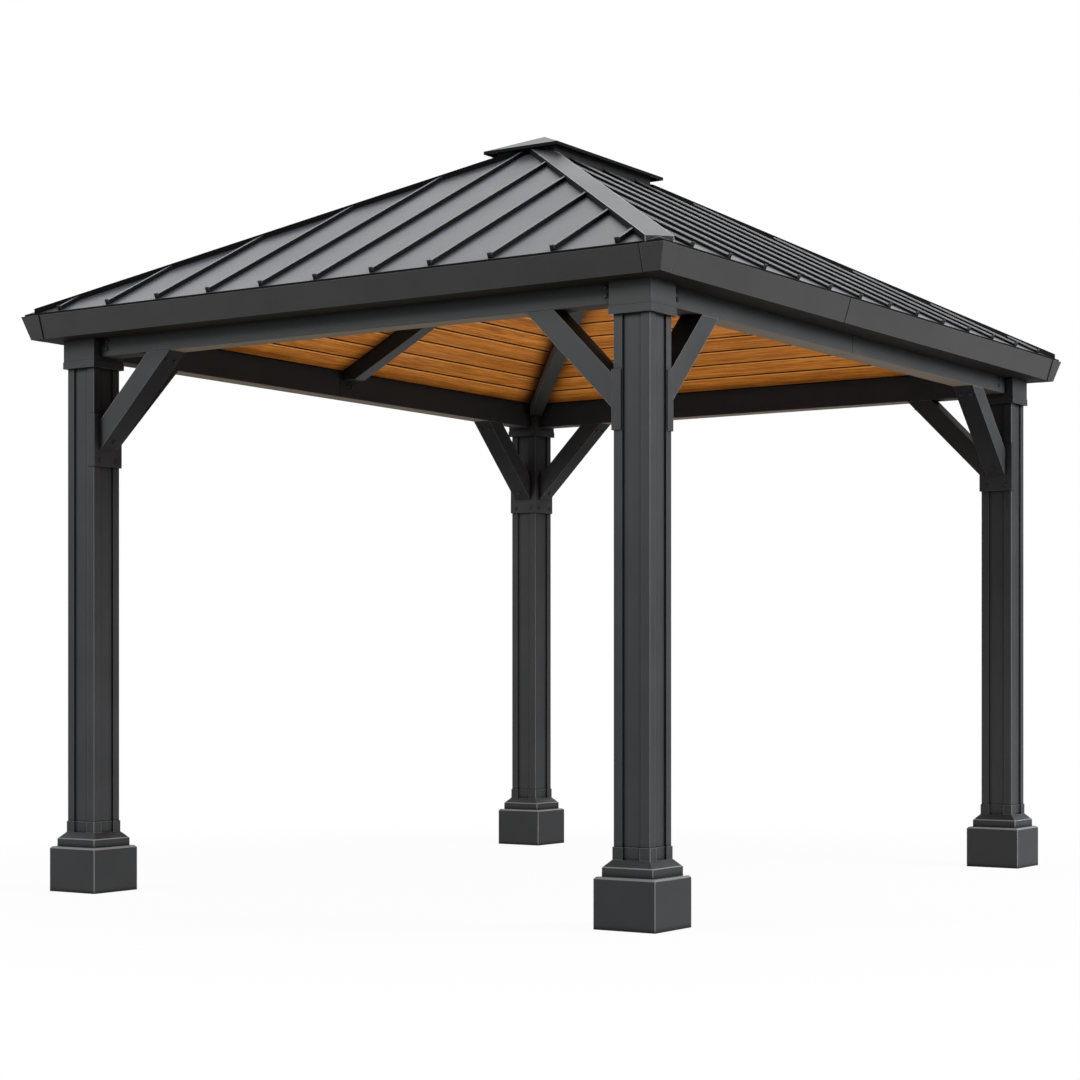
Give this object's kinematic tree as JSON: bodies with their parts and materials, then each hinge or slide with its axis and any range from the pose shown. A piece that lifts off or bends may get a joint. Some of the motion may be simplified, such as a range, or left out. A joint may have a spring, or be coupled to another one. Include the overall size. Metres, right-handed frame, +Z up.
{
  "type": "metal gazebo",
  "caption": "Open hard-top gazebo with panelled posts on plinths, knee-braced beams, a hipped standing-seam metal roof with a raised vent cap and a boarded ceiling.",
  "frame": {"origin": "on the ground, under the middle of the gazebo", "axes": "+Z up, +Y towards the back along the long side, +X to the right along the short side"},
  "size_m": [3.007, 3.607, 3.1552],
  "materials": {
    "post_paint": "satin powder coat",
    "plinth_paint": "satin powder coat",
    "beam_paint": "satin powder coat",
    "fascia_paint": "satin powder coat",
    "roof_sheet": "semi-gloss coated sheet",
    "cap_sheet": "semi-gloss coated sheet",
    "vent_dark": "matt black",
    "rafter_paint": "satin powder coat",
    "ceiling_wood": "wood-look boards, satin"
  },
  "bodies": {
    "root": {"front_left_post": "post_paint", "front_left_collar": "post_paint", "front_left_knee_braces": "post_paint", "front_right_post": "post_paint", "front_right_collar": "post_paint", "front_right_knee_braces": "post_paint", "back_left_post": "post_paint", "back_left_collar": "post_paint", "back_left_knee_braces": "post_paint", "back_right_post": "post_paint", "back_right_collar": "post_paint", "back_right_knee_braces": "post_paint", "brace_brackets": "post_paint", "front_left_plinth": "plinth_paint", "front_right_plinth": "plinth_paint", "back_left_plinth": "plinth_paint", "back_right_plinth": "plinth_paint", "front_beam": "beam_paint", "back_beam": "beam_paint", "right_beam_front_half": "beam_paint", "right_beam_back_half": "beam_paint", "left_beam_front_half": "beam_paint", "left_beam_back_half": "beam_paint", "front_fascia": "fascia_paint", "back_fascia": "fascia_paint", "right_fascia_front_half": "fascia_paint", "right_fascia_back_half": "fascia_paint", "left_fascia_front_half": "fascia_paint", "left_fascia_back_half": "fascia_paint", "fascia_corners": "fascia_paint", "front_roof": "roof_sheet", "back_roof": "roof_sheet", "left_roof": "roof_sheet", "right_roof": "roof_sheet", "hip_caps": "cap_sheet", "vent_cap": "cap_sheet", "vent_curb": "vent_dark", "ridge_beam": "rafter_paint", "mid_rafters": "rafter_paint", "hip_rafters": "rafter_paint", "front_ceiling": "ceiling_wood", "back_ceiling": "ceiling_wood", "left_ceiling": "ceiling_wood", "right_ceiling": "ceiling_wood"}
  },
  "joints": []
}
